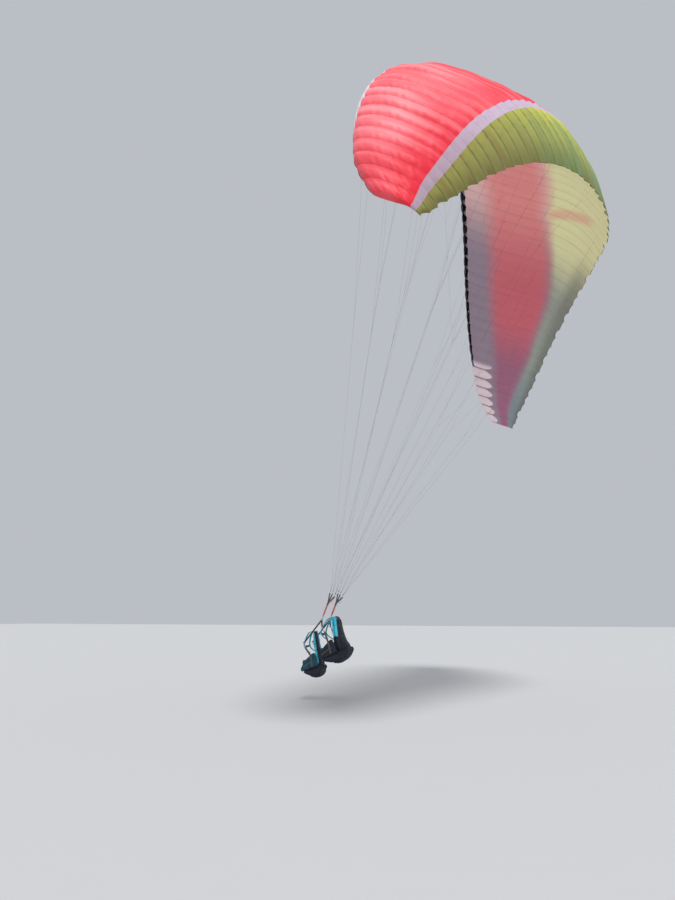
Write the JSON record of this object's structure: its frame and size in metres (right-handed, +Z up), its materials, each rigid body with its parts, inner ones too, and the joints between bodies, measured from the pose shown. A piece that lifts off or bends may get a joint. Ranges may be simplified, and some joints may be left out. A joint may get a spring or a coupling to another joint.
{
  "type": "tandem paraglider",
  "caption": "Tandem paraglider: a ram-air canopy with red, white and green upper bands, lines, risers, spreader bars and two hanging harnesses.",
  "frame": {"origin": "on the canopy's lower skin at the centre rib, at about a third of the chord, where the air holds the part up", "axes": "+X flight direction, +Y pilot's left, +Z up; the canopy leans back behind the riders as while it rises"},
  "size_m": [6.0781, 11.6958, 10.8391],
  "materials": {
    "red_cloth": "ripstop sailcloth, red",
    "pale_cloth": "ripstop sailcloth, white in shade",
    "green_cloth": "ripstop sailcloth, yellow-green",
    "white_cloth": "ripstop sailcloth, white",
    "line": "sheathed line",
    "steel": "brushed steel",
    "webbing": "woven webbing, black",
    "grip": "webbing over a soft core",
    "spreader_alloy": "black sleeve over aluminium",
    "board": "plywood",
    "pilot_cloth": "woven nylon, black",
    "passenger_cloth": "woven nylon, black",
    "pilot_accent": "woven nylon, light blue",
    "passenger_accent": "woven nylon, teal",
    "alloy": "anodised"
  },
  "bodies": {
    "wing": {"upper_front_right": "red_cloth", "upper_stripe_right": "pale_cloth", "upper_rear_right": "green_cloth", "lower_skin_right": "white_cloth", "upper_front_centre": "red_cloth", "upper_stripe_centre": "pale_cloth", "upper_rear_centre": "green_cloth", "lower_skin_centre": "white_cloth", "upper_front_left": "red_cloth", "upper_stripe_left": "pale_cloth", "upper_rear_left": "green_cloth", "lower_skin_left": "white_cloth", "lines_a_left": "line", "lines_b_left": "line", "lines_c_left": "line", "brake_lines_left": "line", "main_carabiner_left": "steel", "risers_left": "webbing", "brake_handle_left": "grip", "lines_a_right": "line", "lines_b_right": "line", "lines_c_right": "line", "brake_lines_right": "line", "main_carabiner_right": "steel", "risers_right": "webbing", "brake_handle_right": "grip"},
    "spreaders": {"spreader_left": "spreader_alloy", "spreader_right": "spreader_alloy"},
    "pilot_harness": {"pilot_seat_board": "board", "pilot_seat_shell": "pilot_cloth", "pilot_back_pad": "pilot_cloth", "pilot_container": "pilot_cloth", "pilot_airbag": "pilot_cloth", "pilot_carabiner_left": "alloy", "pilot_main_strap_left": "webbing", "pilot_shoulder_strap_left": "pilot_accent", "pilot_leg_strap_left": "webbing", "pilot_carabiner_right": "alloy", "pilot_main_strap_right": "webbing", "pilot_shoulder_strap_right": "pilot_accent", "pilot_leg_strap_right": "webbing", "pilot_chest_strap": "webbing"},
    "passenger_harness": {"passenger_seat_board": "board", "passenger_seat_shell": "passenger_cloth", "passenger_back_pad": "passenger_cloth", "passenger_airbag": "passenger_cloth", "passenger_carabiner_left": "alloy", "passenger_main_strap_left": "webbing", "passenger_shoulder_strap_left": "passenger_accent", "passenger_leg_strap_left": "webbing", "passenger_carabiner_right": "alloy", "passenger_main_strap_right": "webbing", "passenger_shoulder_strap_right": "passenger_accent", "passenger_leg_strap_right": "webbing", "passenger_chest_strap": "webbing"}
  },
  "joints": [
    {"name": "spreader_pivot", "type": "hinge", "parent": "wing", "child": "spreaders", "pos_m": [3.76188, 0, -8.8873], "axis": [0, 1, 0], "range_deg": [-25, 10]},
    {"name": "pilot_swing", "type": "hinge", "parent": "spreaders", "child": "pilot_harness", "pos_m": [3.75188, 0, -9.0123], "axis": [0, 1, 0], "range_deg": [-1, 45]},
    {"name": "passenger_swing", "type": "hinge", "parent": "spreaders", "child": "passenger_harness", "pos_m": [4.11188, 0, -9.3073], "axis": [0, 1, 0], "range_deg": [-45, 1]}
  ]
}
